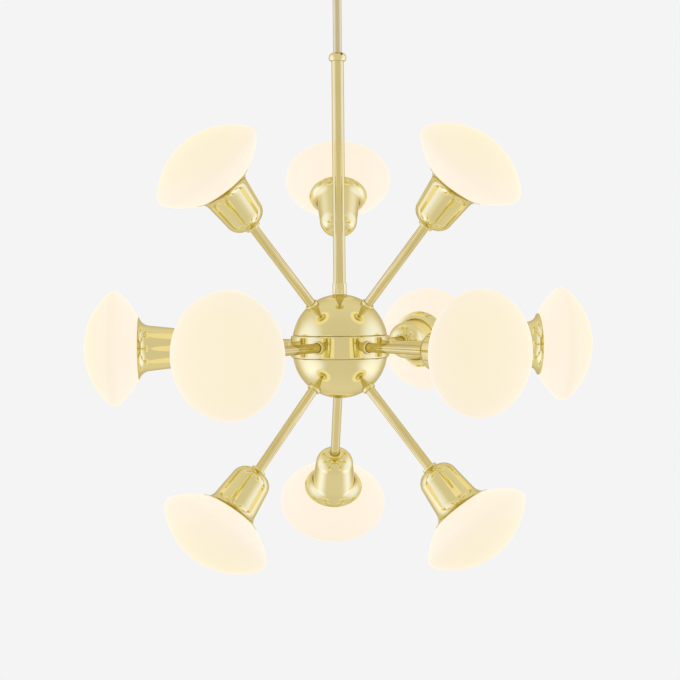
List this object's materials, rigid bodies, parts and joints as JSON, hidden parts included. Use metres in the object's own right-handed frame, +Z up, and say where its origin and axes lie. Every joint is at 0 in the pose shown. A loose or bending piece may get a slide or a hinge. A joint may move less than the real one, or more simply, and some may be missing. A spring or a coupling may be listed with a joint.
{
  "type": "chandelier",
  "caption": "Ceiling chandelier: a brass ball hub on a telescopic stem radiates straight arms in tiers, each ending in a flared bell cup and a lit opal glass discus shade.",
  "frame": {"origin": "centre of the ceiling bracket's top face, on the ceiling plane", "axes": "+Z up into the ceiling, +X along a level arm and along the bracket's bolt line, +Y completes the frame and points away from the viewer of the picture"},
  "size_m": [0.5714, 0.5168, 0.7222],
  "materials": {
    "polished_brass": "polished",
    "satin_brass": "satin",
    "zinc_steel": "zinc plated",
    "opal_glass": "opal, lit",
    "bulb_glass": "frosted",
    "socket_ceramic": "glazed ceramic"
  },
  "bodies": {
    "ceiling_mount": {"mounting_bracket": "zinc_steel", "bracket_nut": "zinc_steel", "canopy": "polished_brass", "canopy_nut": "polished_brass", "swivel_bolt": "zinc_steel"},
    "swivel": {"swivel_yoke": "polished_brass", "swivel_pin": "zinc_steel"},
    "rod": {"rod_head": "polished_brass", "drop_rod": "satin_brass", "rod_stop": "zinc_steel"},
    "hub_frame": {"stem_tube": "polished_brass", "stem_lock_collar": "polished_brass", "lock_screw": "zinc_steel", "stem_base_collar": "polished_brass", "hub_upper_shell": "polished_brass", "hub_lower_shell": "polished_brass", "hub_band": "polished_brass", "center_pipe": "zinc_steel", "hub_bottom_screw": "zinc_steel", "hub_lock_nuts": "zinc_steel", "arm_collars": "polished_brass", "bell_rings": "polished_brass", "lamp_sockets": "socket_ceramic", "lamp_bulbs": "bulb_glass", "bell_cups_upper": "polished_brass", "bell_cups_middle": "polished_brass", "bell_cups_lower": "polished_brass", "arm_tube_upper_1": "polished_brass", "arm_tube_upper_2": "polished_brass", "arm_tube_upper_3": "polished_brass", "arm_tube_middle_1": "polished_brass", "arm_tube_middle_2": "polished_brass", "arm_tube_middle_3": "polished_brass", "arm_tube_middle_4": "polished_brass", "arm_tube_middle_5": "polished_brass", "arm_tube_middle_6": "polished_brass", "arm_tube_lower_1": "polished_brass", "arm_tube_lower_2": "polished_brass", "arm_tube_lower_3": "polished_brass"},
    "shade_upper_1": {"glass_shade_upper_1": "opal_glass"},
    "shade_upper_2": {"glass_shade_upper_2": "opal_glass"},
    "shade_upper_3": {"glass_shade_upper_3": "opal_glass"},
    "shade_middle_1": {"glass_shade_middle_1": "opal_glass"},
    "shade_middle_2": {"glass_shade_middle_2": "opal_glass"},
    "shade_middle_3": {"glass_shade_middle_3": "opal_glass"},
    "shade_middle_4": {"glass_shade_middle_4": "opal_glass"},
    "shade_middle_5": {"glass_shade_middle_5": "opal_glass"},
    "shade_middle_6": {"glass_shade_middle_6": "opal_glass"},
    "shade_lower_1": {"glass_shade_lower_1": "opal_glass"},
    "shade_lower_2": {"glass_shade_lower_2": "opal_glass"},
    "shade_lower_3": {"glass_shade_lower_3": "opal_glass"}
  },
  "joints": [
    {"name": "swivel_turn", "type": "hinge", "parent": "ceiling_mount", "child": "swivel", "pos_m": [0, 0, 0], "axis": [0, 0, 1], "range_deg": [-175, 175]},
    {"name": "swivel_tilt", "type": "hinge", "parent": "swivel", "child": "rod", "pos_m": [0, 0, -0.0557], "axis": [1, 0, 0], "range_deg": [-40, 40]},
    {"name": "height_slide", "type": "slide", "parent": "rod", "child": "hub_frame", "axis": [0, 0, 1], "range_m": [-0.15, 0.06]},
    {"name": "shade_off_upper_1", "type": "slide", "parent": "hub_frame", "child": "shade_upper_1", "axis": [0.0396, 0.6469, 0.7615], "range_m": [0, 0.045]},
    {"name": "shade_off_upper_2", "type": "slide", "parent": "hub_frame", "child": "shade_upper_2", "axis": [-0.58, -0.2892, 0.7615], "range_m": [0, 0.045]},
    {"name": "shade_off_upper_3", "type": "slide", "parent": "hub_frame", "child": "shade_upper_3", "axis": [0.5405, -0.3577, 0.7615], "range_m": [0, 0.045]},
    {"name": "shade_off_middle_1", "type": "slide", "parent": "hub_frame", "child": "shade_middle_1", "axis": [1, 0, 0], "range_m": [0, 0.045]},
    {"name": "shade_off_middle_2", "type": "slide", "parent": "hub_frame", "child": "shade_middle_2", "axis": [0.5, 0.866, 0], "range_m": [0, 0.045]},
    {"name": "shade_off_middle_3", "type": "slide", "parent": "hub_frame", "child": "shade_middle_3", "axis": [-0.5, 0.866, 0], "range_m": [0, 0.045]},
    {"name": "shade_off_middle_4", "type": "slide", "parent": "hub_frame", "child": "shade_middle_4", "axis": [-1, 0, 0], "range_m": [0, 0.045]},
    {"name": "shade_off_middle_5", "type": "slide", "parent": "hub_frame", "child": "shade_middle_5", "axis": [-0.5, -0.866, 0], "range_m": [0, 0.045]},
    {"name": "shade_off_middle_6", "type": "slide", "parent": "hub_frame", "child": "shade_middle_6", "axis": [0.5, -0.866, 0], "range_m": [0, 0.045]},
    {"name": "shade_off_lower_1", "type": "slide", "parent": "hub_frame", "child": "shade_lower_1", "axis": [0, 0.6481, -0.7615], "range_m": [0, 0.045]},
    {"name": "shade_off_lower_2", "type": "slide", "parent": "hub_frame", "child": "shade_lower_2", "axis": [-0.5613, -0.3241, -0.7615], "range_m": [0, 0.045]},
    {"name": "shade_off_lower_3", "type": "slide", "parent": "hub_frame", "child": "shade_lower_3", "axis": [0.5613, -0.3241, -0.7615], "range_m": [0, 0.045]}
  ]
}
